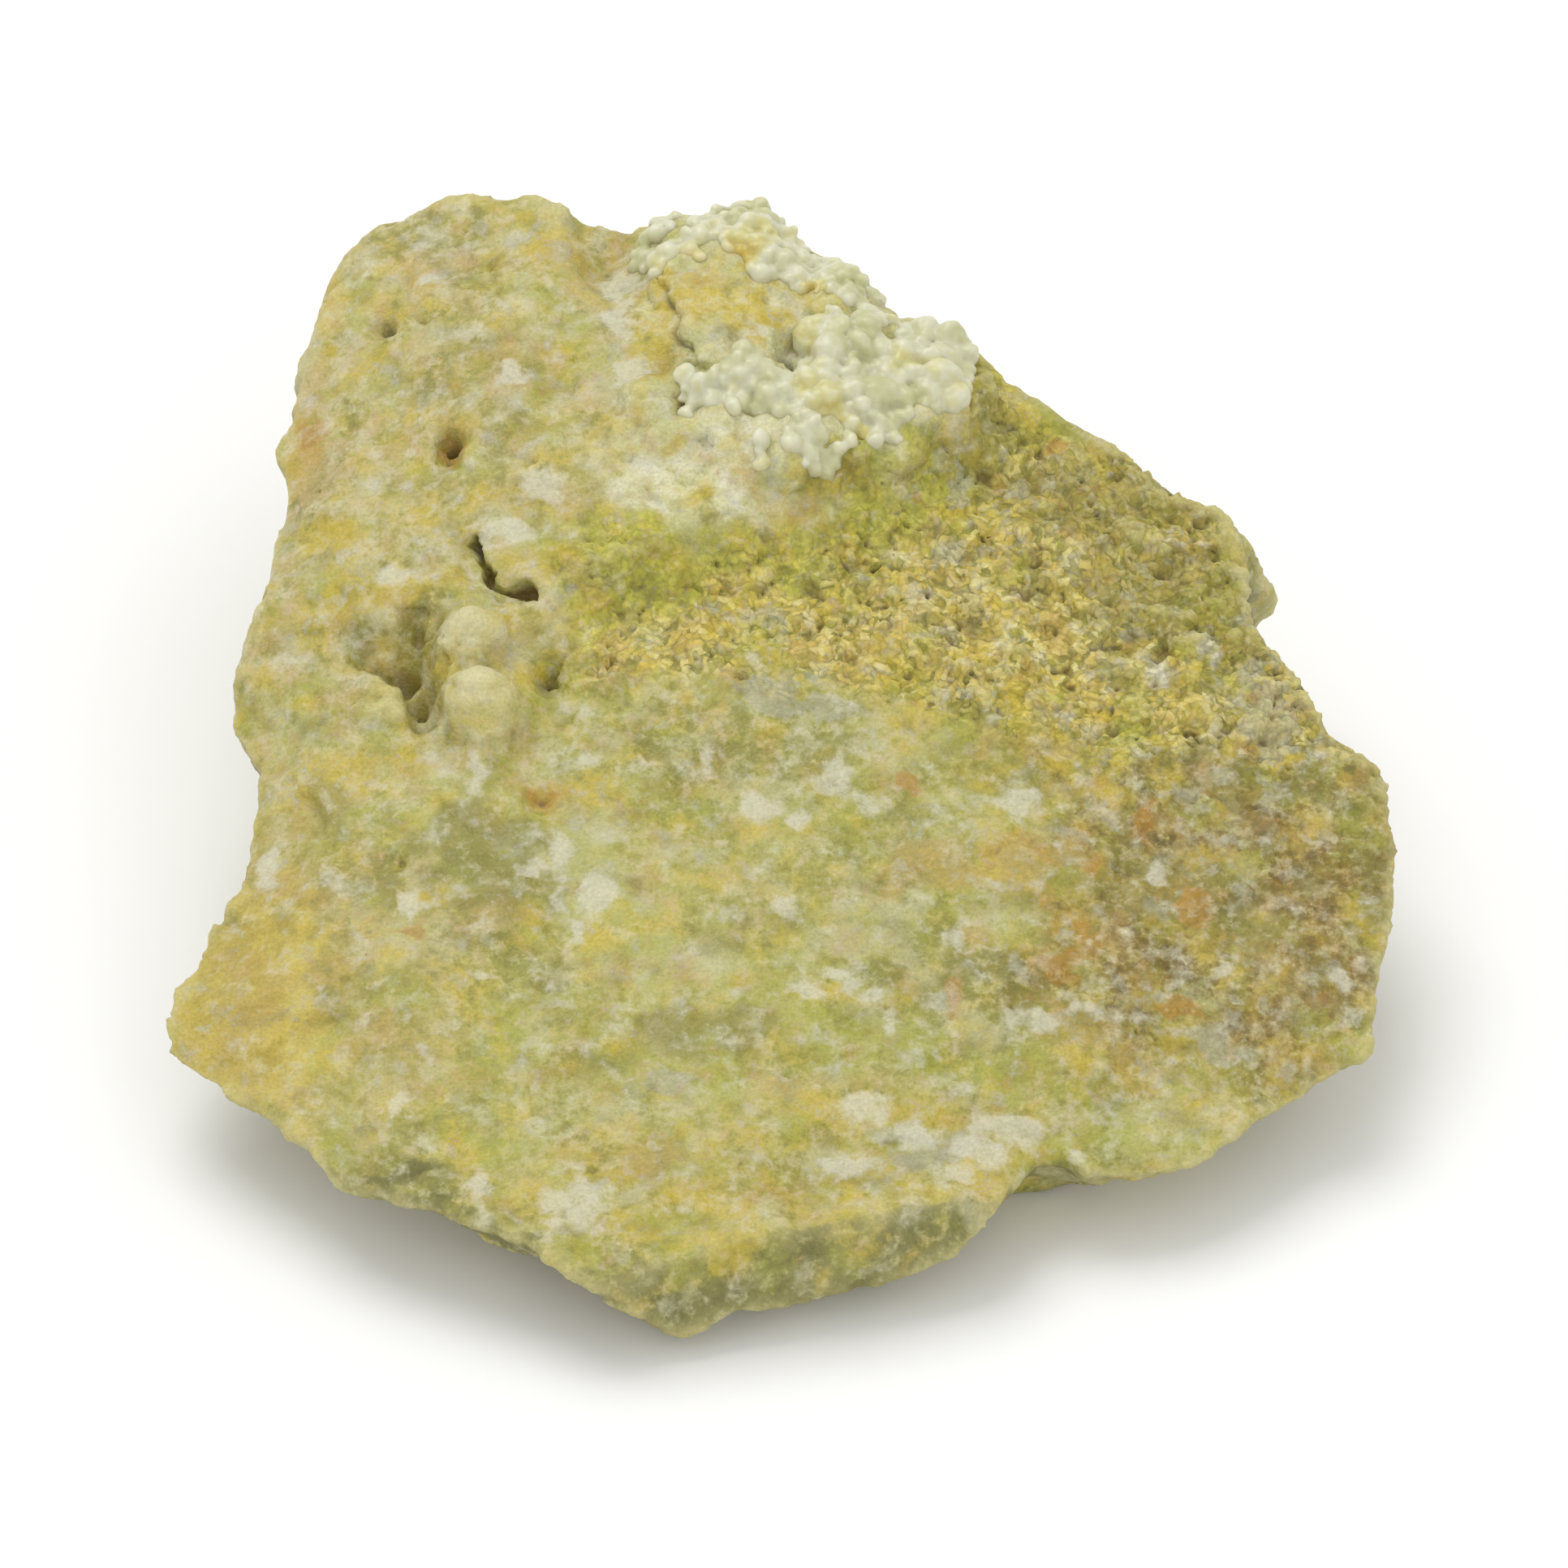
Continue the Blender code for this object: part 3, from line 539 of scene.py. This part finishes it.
GRAIN_WAVER_SIZE, GRAIN_WAVER = 0.8, 1.1
GRAIN_BORDER, GRAIN_COVER = (0.9, 1.8), 0.8
# Painted shade between grains: the grain cell distances where it starts and is full, and the tones it
# multiplies by
GAP_REACH, GAP_SHADE_TONES = (0.4, 0.8), (1.04, 0.72)
# Noise patterns as size in millimetres, detail and roughness
PATTERNS = {"cloud": (1.3, 4, 0.62), "fine": (0.45, 4, 0.65), "grit": (0.15, 2, 0.6)}
BROAD_SWAY, FINE_SWAY, CLOUD_RANGE = 0.25, 0.6, (0.3, 1.3)
BORDER_RAGGED, BORDER = 1.6, (1.0, 1.6)
STAIN_RAGGED = 6.0
FLECK_SHIFT, FLECK_RAGGED, FLECK_EDGE = (0.009, 0.013, 0.007), 1.2, (1.15, 0.75)
MOTTLE = 0.22
MOTTLE_COLOURS = [((0.52, 0.66), "#cbc7a8"), ((0.46, 0.34), "#978d3c")]
# Painted shade in hollows, brown clay and painted shade between grains, brown in pits and cracks,
# and painted highlights on raised points and on thin edges: where on the vertices' measure each
# starts and is full, its strength and its colour
SHADE_HIGHLIGHT_AND_PIT_STAIN = [
    # painted shade in hollows
    ("hollow", 0.15, 1.0, 0.5, "#726934"),
    # brown clay between grains, with painted shade there too
    ("gap_clay_and_shade", 0.25, 1.0, 0.6, "#6b5a2b"),
    ("sunk", 0.3, 1.0, 0.65, "#83652d"),
    # painted highlight on raised points
    ("proud", 0.2, 1.2, 0.35, "#c9c290"),
    # painted highlight on convex edges, standing for light glowing through the thin stone
    ("rim", 0.15, 1.0, 0.5, "#cdc383"),
]
SPECKLE_TONES = 0.88, 1.10
MIDDLE_OF_NOISE = 0.3, 0.7
BUMP_FINE, BUMP_STRENGTH, BUMP_DEPTH = 2.0, 0.6, 0.06
WAXY, GRAIN_DULLNESS = (0.40, 0.62), 0.3
# The sockets of a Mix node that mixes colours
MIX_FACTOR, MIX_A, MIX_B, MIX_RESULT = 0, 6, 7, 2
OPAL_IOR = 1.45

opal = bpy.data.materials.new("raw_green_opal")
opal.use_nodes = True
tree = opal.node_tree
tree.nodes.clear()
place = add_node(tree, "ShaderNodeTexCoord").outputs["Object"]
pattern = {}
for name, (size, detail, roughness) in PATTERNS.items():
    pattern[name] = add_node(tree, "ShaderNodeTexNoise", {
        "Vector": place, "Scale": per_mm(size), "Detail": detail, "Roughness": roughness,
    }).outputs[0]
seen = {}
for name in (*ZONE_COLOURS, "sandy", "grainy", "broad", "hollow", "sunk", "proud", "rim"):
    seen[name] = add_node(tree, "ShaderNodeAttribute", attribute_name=name).outputs["Fac"]


def stained(tree, base, cover, start, full, strength, stain):
    """A colour with a stain over it, from none where its cover is at the start to its strength at full."""
    amount = add_node(tree, "ShaderNodeMapRange", {
        "Value": cover, "From Min": start, "From Max": full, "To Max": strength,
    }, interpolation_type="SMOOTHSTEP").outputs[0]
    return add_node(tree, "ShaderNodeMix", {MIX_FACTOR: amount, MIX_A: base, MIX_B: stain},
                    data_type="RGBA").outputs[MIX_RESULT]


cloudy = pattern["cloud"]
for sway, share in ((seen["broad"], BROAD_SWAY), (pattern["fine"], FINE_SWAY)):
    cloudy = add_node(tree, "ShaderNodeMath", {0: sway, 1: share, 2: cloudy},
                      operation="MULTIPLY_ADD").outputs[0]
cloudy = add_node(tree, "ShaderNodeMapRange", {
    "Value": cloudy, "From Min": CLOUD_RANGE[0], "From Max": CLOUD_RANGE[1],
}).outputs[0]
colour = add_node(tree, "ShaderNodeValToRGB", {0: cloudy}, stops=APRON_COLOURS).outputs[0]
border = {}
for name in (*ZONE_COLOURS, "sandy"):
    border[name] = add_node(tree, "ShaderNodeMath", {0: pattern["cloud"], 1: BORDER_RAGGED, 2: seen[name]},
                            operation="MULTIPLY_ADD").outputs[0]
for name, stops in ZONE_COLOURS.items():
    shade = add_node(tree, "ShaderNodeValToRGB", {0: cloudy}, stops=stops).outputs[0]
    colour = stained(tree, colour, border[name], *BORDER, 1.0, shade)

# The imported ochre grains, each with its own colour, and painted shade that makes them darker where one
# meets the next
waver = add_node(tree, "ShaderNodeTexNoise", {
    "Vector": place, "Scale": per_mm(GRAIN_WAVER_SIZE), "Detail": 1,
}).outputs["Color"]
crooked = add_node(tree, "ShaderNodeVectorMath", {0: waver, 1: (GRAIN_WAVER * MM,) * 3, 2: place},
                   operation="MULTIPLY_ADD").outputs[0]
grains = add_node(tree, "ShaderNodeTexVoronoi", {"Vector": crooked, "Scale": per_mm(GRAIN_SIZE_SEEN)})
grain_tone = add_node(tree, "ShaderNodeSeparateColor", {0: grains.outputs["Color"]}).outputs[0]
grain_colour = add_node(tree, "ShaderNodeValToRGB", {0: grain_tone}, stops=GRAIN_COLOURS).outputs[0]
colour = stained(tree, colour, border["sandy"], *GRAIN_BORDER, GRAIN_COVER, grain_colour)

# Stains and flecks over the whole stone
ragged = add_node(tree, "ShaderNodeMath", {0: pattern["fine"], 1: STAIN_RAGGED, 2: -STAIN_RAGGED / 2},
                  operation="MULTIPLY_ADD").outputs[0]
for name, stain in STAINS.items():
    patches = add_node(tree, "ShaderNodeAttribute", attribute_name="stain_" + name).outputs["Fac"]
    cover = add_node(tree, "ShaderNodeMath", {0: ragged, 1: patches}).outputs[0]
    edge = stain["edge"]
    colour = stained(tree, colour, cover, -edge, edge, stain["strength"], linear(stain["colour"]))
for number, (size, share, top, strength) in enumerate(FLECKS):
    moved = add_node(tree, "ShaderNodeVectorMath", {
        0: crooked, 1: (FLECK_SHIFT[0], FLECK_SHIFT[1] * number, FLECK_SHIFT[2] * number),
    }).outputs[0]
    cells = add_node(tree, "ShaderNodeTexVoronoi", {"Vector": moved, "Scale": per_mm(size)})
    picked = add_node(tree, "ShaderNodeMath", {0: cells.outputs["Color"], 1: share},
                      operation="LESS_THAN").outputs[0]
    strength_here = add_node(tree, "ShaderNodeMath", {0: picked, 1: strength},
                             operation="MULTIPLY").outputs[0]
    reach = add_node(tree, "ShaderNodeMath", {
        0: pattern["fine"], 1: FLECK_RAGGED, 2: cells.outputs["Distance"],
    }, operation="MULTIPLY_ADD").outputs[0]
    colour = stained(tree, colour, reach, *FLECK_EDGE, strength_here, linear(top))
for (start, full), top in MOTTLE_COLOURS:
    colour = stained(tree, colour, pattern["fine"], start, full, MOTTLE, linear(top))

# Painted shade: the grains are darker where one meets the next, times their own tones, over the grainy parts
painted_gap_shade = add_node(tree, "ShaderNodeMapRange", {
    "Value": grains.outputs["Distance"], "From Min": GAP_REACH[0], "From Max": GAP_REACH[1],
    "To Min": GAP_SHADE_TONES[0], "To Max": GAP_SHADE_TONES[1],
}).outputs[0]
grain_tone = add_node(tree, "ShaderNodeMapRange", {
    "Value": grain_tone, "To Min": GRAIN_TONES[0], "To Max": GRAIN_TONES[1],
}).outputs[0]
grain_tone_and_gap_shade = add_node(tree, "ShaderNodeMath", {0: grain_tone, 1: painted_gap_shade}, operation="MULTIPLY").outputs[0]
colour = add_node(tree, "ShaderNodeMix", {MIX_FACTOR: seen["grainy"], MIX_A: colour, MIX_B: grain_tone_and_gap_shade},
                  data_type="RGBA", blend_type="MULTIPLY").outputs[MIX_RESULT]
seen["gap_clay_and_shade"] = add_node(tree, "ShaderNodeMath", {0: seen["hollow"], 1: seen["grainy"]},
                           operation="MULTIPLY").outputs[0]
# Painted shade in hollows and between grains, brown in pits and cracks, and painted highlights on raised
# points and edges
for name, start, full, strength, top in SHADE_HIGHLIGHT_AND_PIT_STAIN:
    colour = stained(tree, colour, seen[name], start, full, strength, linear(top))
speckle = add_node(tree, "ShaderNodeMapRange", {
    "Value": pattern["grit"], "From Min": MIDDLE_OF_NOISE[0], "From Max": MIDDLE_OF_NOISE[1],
    "To Min": SPECKLE_TONES[0], "To Max": SPECKLE_TONES[1],
}).outputs[0]
colour = add_node(tree, "ShaderNodeMix", {MIX_FACTOR: 1.0, MIX_A: colour, MIX_B: speckle},
                  data_type="RGBA", blend_type="MULTIPLY").outputs[MIX_RESULT]

# A waxy surface with fine grit in it, duller where it is grainy
rise = add_node(tree, "ShaderNodeMath", {0: pattern["fine"], 1: BUMP_FINE, 2: pattern["grit"]},
                operation="MULTIPLY_ADD").outputs[0]
bump = add_node(tree, "ShaderNodeBump", {
    "Height": rise, "Strength": BUMP_STRENGTH, "Distance": BUMP_DEPTH * MM,
})
waxy = add_node(tree, "ShaderNodeMapRange", {
    "Value": pattern["fine"], "From Min": MIDDLE_OF_NOISE[0], "From Max": MIDDLE_OF_NOISE[1],
    "To Min": WAXY[0], "To Max": WAXY[1],
}).outputs[0]
dull = add_node(tree, "ShaderNodeMath", {0: seen["grainy"], 1: GRAIN_DULLNESS, 2: waxy},
                operation="MULTIPLY_ADD").outputs[0]
shader = add_node(tree, "ShaderNodeBsdfPrincipled", {
    "Base Color": colour, "Roughness": dull, "IOR": OPAL_IOR, "Normal": bump.outputs[0],
})
add_node(tree, "ShaderNodeOutputMaterial", {"Surface": shader.outputs[0]})

body.data.materials.clear()
body.data.materials.append(opal)
body.data.shade_smooth()
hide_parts("opal")
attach(body, "root")

# The druse is a crust of rounded beads of milky opal, about a millimetre across, that grew on the stone
# below its crest. The beads are fused to each other and to the stone, in four beds.

# A bed is an outline seen from above in millimetres, the share that stays bare, and its layers: proud
# beads and small ones that close the crust between them, as spacing, least and greatest radius and seed
BEAD_BEDS = {
    "rosette_beads": {
        "outline": [(0.7, 12), (0.7, 14.4), (1.7, 15.2), (2.9, 15.4), (4.2, 15), (4.7, 16), (6, 16.2),
                    (7.3, 15.2), (7.4, 13.5), (7.1, 12.3), (5.8, 11.8), (3.2, 11.8), (1.6, 11.4)],
        "bare": 0.03, "patch_seed": 87, "layers": [(0.92, 0.5, 0.84, 7), (0.45, 0.34, 0.46, 21)],
    },
    "row_beads": {
        "outline": [(-4.4, 11.7), (-3.7, 12.1), (-2.4, 12.3), (-2, 13.2), (-1.1, 13.4), (-0.3, 12.5),
                    (1.6, 11.5), (0.6, 10.6), (-0.6, 10.8), (-1.7, 10.5), (-3.5, 11)],
        "bare": 0.05, "patch_seed": 83, "layers": [(0.56, 0.32, 0.54, 3), (0.32, 0.25, 0.34, 22)],
    },
    "ridge_beads": {
        "outline": [(-1.6, 8.8), (-0.1, 9.6), (0.9, 10.8), (1.9, 11.2), (3.9, 11.6), (5, 11.6),
                    (4.8, 10.6), (3.2, 9.6), (1.9, 8.9), (0.3, 8.3), (-1.2, 8.2)],
        "bare": 0.2, "patch_seed": 84, "layers": [(0.46, 0.26, 0.46, 4), (0.27, 0.2, 0.27, 23)],
    },
    "crest_beads": {
        "outline": [(-6.2, 19.8), (-4.8, 22.6), (-3, 23.4), (-0.9, 22.8), (1.5, 21.4), (3.8, 18.8),
                    (4.5, 16.4), (3.5, 15.2), (1.6, 14.8), (1.2, 16.9), (-1.1, 17.7), (-2.1, 18.6),
                    (-4, 18.9), (-5.2, 18.2)],
        "bare": 0.2, "patch_seed": 89, "layers": [(0.46, 0.25, 0.44, 9), (0.27, 0.19, 0.26, 24)],
    },
}
BED_EDGE, BED_UPWARD = 0.2, 0.05
BARE_SIZE = 1.8
BEAD_SINK = -0.08
BEAD_LEAN = 0.74, 1.26
BEAD_LUMPS = [(0.9, 0.09), (0.4, 0.045)]
BEAD_FACE = 0.09 * MM
BEAD_SUBDIVISIONS = 3
DENSE_ENOUGH = 1e8

bead_tree = bpy.data.node_groups.new("opal beads", "GeometryNodeTree")
bead_tree.interface.new_socket("Bed", in_out="INPUT", socket_type="NodeSocketGeometry")
for name in ("Spacing", "Least radius", "Greatest radius"):
    bead_tree.interface.new_socket(name, in_out="INPUT", socket_type="NodeSocketFloat")
bead_tree.interface.new_socket("Seed", in_out="INPUT", socket_type="NodeSocketInt")
bead_tree.interface.new_socket("Beads", in_out="OUTPUT", socket_type="NodeSocketGeometry")
given = add_node(bead_tree, "NodeGroupInput").outputs
scatter = add_node(bead_tree, "GeometryNodeDistributePointsOnFaces", {
    "Mesh": given["Bed"], "Distance Min": given["Spacing"], "Density Max": DENSE_ENOUGH,
    "Seed": given["Seed"],
}, distribute_method="POISSON")
ball = add_node(bead_tree, "GeometryNodeMeshIcoSphere", {
    "Radius": 1.0, "Subdivisions": BEAD_SUBDIVISIONS,
})
# Random Value keeps least and greatest in sockets 0 and 1 for a vector, and in 2 and 3 for a number
size = add_node(bead_tree, "FunctionNodeRandomValue", {
    2: given["Least radius"], 3: given["Greatest radius"], "Seed": given["Seed"],
}, data_type="FLOAT")
lean = add_node(bead_tree, "FunctionNodeRandomValue", {
    0: (BEAD_LEAN[0],) * 3, 1: (BEAD_LEAN[1],) * 3, "Seed": given["Seed"],
}, data_type="FLOAT_VECTOR")
shape = add_node(bead_tree, "ShaderNodeVectorMath", {
    0: lean.outputs[0], "Scale": size.outputs[1],
}, operation="SCALE")
inward = add_node(bead_tree, "ShaderNodeMath", {0: size.outputs[1], 1: BEAD_SINK}, operation="MULTIPLY")
sink = add_node(bead_tree, "ShaderNodeVectorMath", {
    0: scatter.outputs["Normal"], "Scale": inward.outputs[0],
}, operation="SCALE")
sunken = add_node(bead_tree, "GeometryNodeSetPosition", {
    "Geometry": scatter.outputs["Points"], "Offset": sink.outputs[0],
})
placed = add_node(bead_tree, "GeometryNodeInstanceOnPoints", {
    "Points": sunken.outputs[0], "Instance": ball.outputs["Mesh"], "Scale": shape.outputs[0],
    "Rotation": scatter.outputs["Rotation"],
})
real = add_node(bead_tree, "GeometryNodeRealizeInstances", {0: placed.outputs[0]})
bead_finish = add_node(bead_tree, "GeometryNodeSetMaterial", {0: real.outputs[0]})
add_node(bead_tree, "NodeGroupOutput", {0: bead_finish.outputs[0]})

milk = bpy.data.materials.new("milky_opal_beads")
bead_finish.inputs["Material"].default_value = milk


def bead_layer(name, share, spacing, least, greatest, seed):
    """Beads of one size range on the part of the stone's top whose share is above a half."""
    bed = add_object(name, body.data.copy())
    bed.vertex_groups.new(name="bed").add([int(i) for i in np.flatnonzero(share > 0.5)], 1.0, "REPLACE")
    bed.modifiers.new("bed", "MASK").vertex_group = "bed"
    beads = bed.modifiers.new("beads", "NODES")
    beads.node_group = bead_tree
    values = {"Spacing": spacing * MM, "Least radius": least * MM, "Greatest radius": greatest * MM,
              "Seed": seed}
    for item in bead_tree.interface.items_tree:
        if item.in_out == "INPUT" and item.name in values:
            beads[item.identifier] = values[item.name]
    plain_mesh(bed)
    return bed


bead_sets = []
for name, bed in BEAD_BEDS.items():
    patches = smooth_noise(points, BARE_SIZE, bed["patch_seed"], octaves=3)
    grown = (patches > np.quantile(patches, bed["bare"])) & (normals[:, 2] > BED_UPWARD)
    share = zone_weight(bed["outline"], x, y, BED_EDGE) * grown
    bead_sets += [bead_layer(name, share, *layer) for layer in bed["layers"]]
druse = bead_sets[0]
druse.name = "opal_druse"
with bpy.context.temp_override(active_object=druse, selected_editable_objects=bead_sets):
    bpy.ops.object.join()
fuse = druse.modifiers.new("fuse", "REMESH")
fuse.mode = "VOXEL"
fuse.voxel_size = BEAD_FACE
soften = druse.modifiers.new("soften", "SMOOTH")
soften.factor = SMOOTH_SHARE
soften.iterations = 1
plain_mesh(druse)

# Shade is painted between the beads and a highlight on their tops, so each point keeps how sunken it lies
BEAD_ROUNDS = 40
BEAD_DEPTH = 0.35
bead_points = read_points(druse.data.vertices, "co")
bead_normals = read_points(druse.data.vertex_normals, "vector")
for number, (lump_size, height) in enumerate(BEAD_LUMPS):
    lumps = smooth_noise(bead_points, lump_size, seed=95 + number) * height * MM
    bead_points += bead_normals * lumps[:, None]
write_points(druse.data, bead_points)
depth = sunken_by(bead_points, bead_normals, read_edges(druse.data), BEAD_ROUNDS, BEAD_DEPTH)
for name, values in (("hollow", depth), ("proud", -depth)):
    keep_values(druse.data, name, np.clip(values, 0, 1))

# Milky opal beads: white-green and cloudy, with yellow clay stains in places and a waxy gloss. The
# eye gets soft light inside each bead; a paler crown is painted highlight and a darker line where two
# beads meet is painted shade.
BEAD_COLOURS = [
    (0.30, "#b2b27e"), (0.44, "#c3c297"), (0.55, "#cfceb3"), (0.64, "#c9c388"), (0.74, "#c0a94b"),
]
# Painted shade where two beads meet and a painted highlight on their crowns
BEAD_SHADE_AND_HIGHLIGHT = [("hollow", 0.05, 0.9, 0.55, "#968d50"), ("proud", 0.1, 0.9, 0.5, "#dfddcb")]
TINT_SIZE, FROST_SIZE = 2.4, 0.2
FROST_STRENGTH, FROST_DEPTH = 0.4, 0.04
BEAD_ROUGHNESS = 0.3
GLOW_SHARE, GLOW_COLOURS, GLOW_DEPTH = 0.4, (1.0, 0.95, 0.6), 0.5
milk.use_nodes = True
tree = milk.node_tree
tree.nodes.clear()
place = add_node(tree, "ShaderNodeTexCoord").outputs["Object"]
tint = add_node(tree, "ShaderNodeTexNoise", {
    "Vector": place, "Scale": per_mm(TINT_SIZE), "Detail": 4,
}).outputs[0]
colour = add_node(tree, "ShaderNodeValToRGB", {0: tint}, stops=BEAD_COLOURS).outputs[0]
# Painted shade in the creases between beads and painted highlights on their crowns
for name, start, full, strength, top in BEAD_SHADE_AND_HIGHLIGHT:
    cover = add_node(tree, "ShaderNodeAttribute", attribute_name=name).outputs["Fac"]
    colour = stained(tree, colour, cover, start, full, strength, linear(top))
frost = add_node(tree, "ShaderNodeTexNoise", {"Vector": place, "Scale": per_mm(FROST_SIZE), "Detail": 3})
frost_bump = add_node(tree, "ShaderNodeBump", {
    "Height": frost.outputs[0], "Strength": FROST_STRENGTH, "Distance": FROST_DEPTH * MM,
})
milk_shader = add_node(tree, "ShaderNodeBsdfPrincipled", {
    "Base Color": colour, "Roughness": BEAD_ROUGHNESS, "IOR": OPAL_IOR, "Normal": frost_bump.outputs[0],
    "Subsurface Weight": GLOW_SHARE, "Subsurface Radius": GLOW_COLOURS, "Subsurface Scale": GLOW_DEPTH * MM,
})
add_node(tree, "ShaderNodeOutputMaterial", {"Surface": milk_shader.outputs[0]})
druse.data.materials.clear()
druse.data.materials.append(milk)
druse.data.shade_smooth()
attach(druse, "root")

# A plain pale table top under the stone, for the render only
PAPER_COLOUR, PAPER_ROUGHNESS, PAPER_SHEEN = "#f6f6f5", 0.9, 0.1
FLOOR_SIDE = 4.0
FLOOR_DROP = 0.02 * MM
half = FLOOR_SIDE / 2
floor_mesh = bpy.data.meshes.new("floor")
corners = [(-half, -half, 0), (half, -half, 0), (half, half, 0), (-half, half, 0)]
floor_mesh.from_pydata(corners, [], [(0, 1, 2, 3)])
floor = add_object("floor", floor_mesh)
floor.location.z = -FLOOR_DROP
paper = bpy.data.materials.new("white_paper")
paper.use_nodes = True
paper_shader = paper.node_tree.nodes["Principled BSDF"]
paper_shader.inputs["Base Color"].default_value = linear(PAPER_COLOUR)
paper_shader.inputs["Roughness"].default_value = PAPER_ROUGHNESS
paper_shader.inputs["Specular IOR Level"].default_value = PAPER_SHEEN
floor_mesh.materials.append(paper)

# Soft studio light: a bright even surround, a large panel above and behind the stone, and a weaker
# one in front of it. A panel is its name, side, place and power.
SURROUND_STRENGTH = 0.78
PANELS = [
    ("key_panel", 0.45, (-0.16, 0.26, 0.62), 2.0),
    ("front_panel", 0.5, (0.25, -0.6, 0.35), 0.8),
]
world = bpy.data.worlds.new("studio")
bpy.context.scene.world = world
world.use_nodes = True
surround = world.node_tree.nodes["Background"]
surround.inputs["Color"].default_value = (1.0, 1.0, 1.0, 1.0)
surround.inputs["Strength"].default_value = SURROUND_STRENGTH
for name, size, where, power in PANELS:
    light = bpy.data.lights.new(name, "AREA")
    light.size = size
    light.energy = power
    panel = add_object(name, light)
    panel.location = where
    panel.rotation_mode = "QUATERNION"
    panel.rotation_quaternion = Vector(where).to_track_quat("Z", "Y")
bpy.context.scene.view_settings.view_transform = "Standard"

# The camera looks down on the stone from its thin front rim, as in the photograph.
CAMERA_ELEVATION = math.radians(40)
CAMERA_DISTANCE = 0.555
CAMERA_AIM = Vector((0, -1.5 * MM, 7 * MM))
FRAME_WIDTH = 0.0615
SENSOR_WIDTH = 36.0
NEAREST_SEEN, FARTHEST_SEEN = 0.01, 20
camera_data = bpy.data.cameras.new("camera")
camera_data.sensor_width = SENSOR_WIDTH
camera_data.lens = SENSOR_WIDTH * CAMERA_DISTANCE / FRAME_WIDTH
camera_data.clip_start = NEAREST_SEEN
camera_data.clip_end = FARTHEST_SEEN
camera = add_object("camera", camera_data)
back = Vector((0, -math.cos(CAMERA_ELEVATION), math.sin(CAMERA_ELEVATION)))
camera.location = CAMERA_AIM + back * CAMERA_DISTANCE
camera.rotation_mode = "QUATERNION"
camera.rotation_quaternion = back.to_track_quat("Z", "Y")
bpy.context.scene.camera = camera
